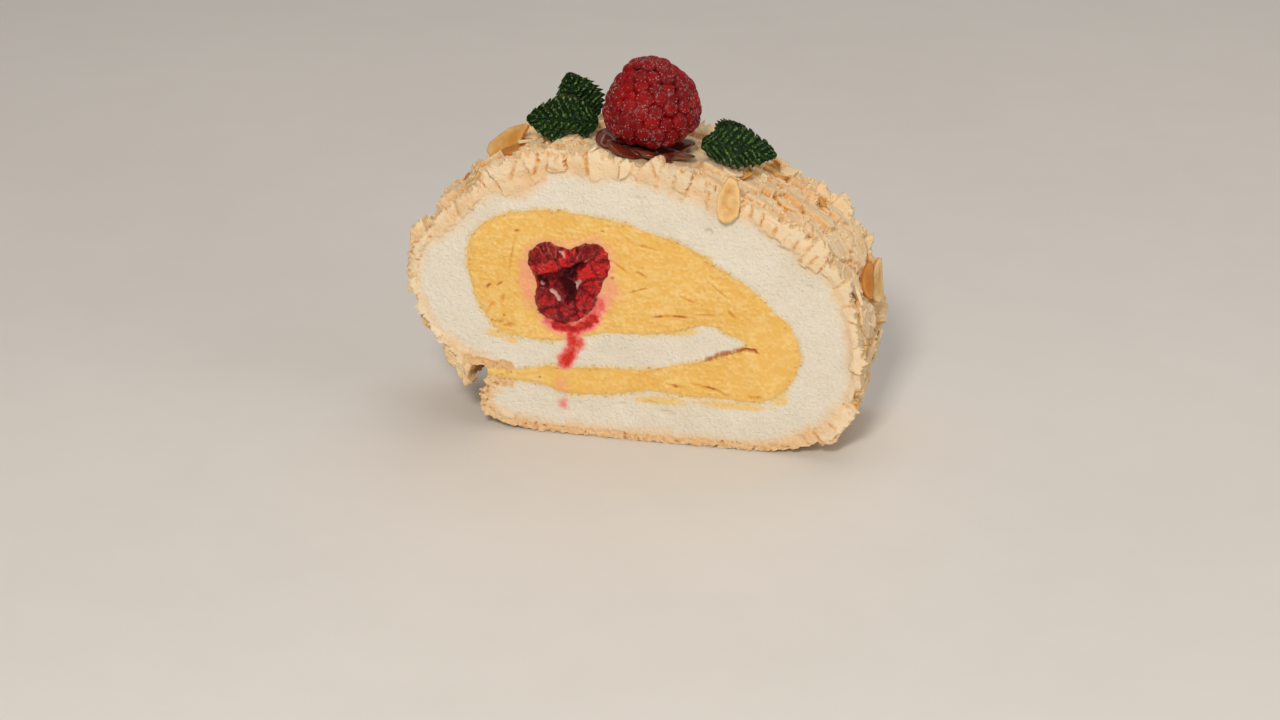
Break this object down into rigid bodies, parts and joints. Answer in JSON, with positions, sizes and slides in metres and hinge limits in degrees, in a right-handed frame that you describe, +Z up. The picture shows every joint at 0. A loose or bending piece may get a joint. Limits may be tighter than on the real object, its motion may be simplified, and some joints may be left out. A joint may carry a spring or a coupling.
{
  "type": "meringue roulade slice",
  "caption": "Upright slice of rolled meringue with yellow cream and a cut raspberry, topped with a raspberry, mint, chocolate and almond flakes.",
  "frame": {"origin": "centre of the slice's footprint, on the surface it stands on", "axes": "+X along the cut face, towards the closed fold of the roll; +Y from the shown cut face to the back one; +Z up"},
  "size_m": [0.1027, 0.0321, 0.083],
  "materials": {
    "meringue": "dry porous white sponge with a pale peach cracked crust",
    "cream": "satin golden yellow cream with a rough cut",
    "raspberry": "wet dark red berry flesh",
    "frosted_raspberry": "red berry with a light whitish frost",
    "chocolate": "glossy reddish brown piped chocolate",
    "mint_leaf": "dark green quilted leaf with a slight sheen"
  },
  "bodies": {
    "root": {"meringue": "meringue", "cream_filling": "cream", "raspberry_front_cut": "raspberry", "raspberry_back_cut": "raspberry", "raspberry_top": "frosted_raspberry", "chocolate_rosette": "chocolate", "mint_leaf_left_front": "mint_leaf", "mint_leaf_left_back": "mint_leaf", "mint_leaf_right_front": "mint_leaf", "mint_leaf_right_back": "mint_leaf"}
  },
  "joints": []
}
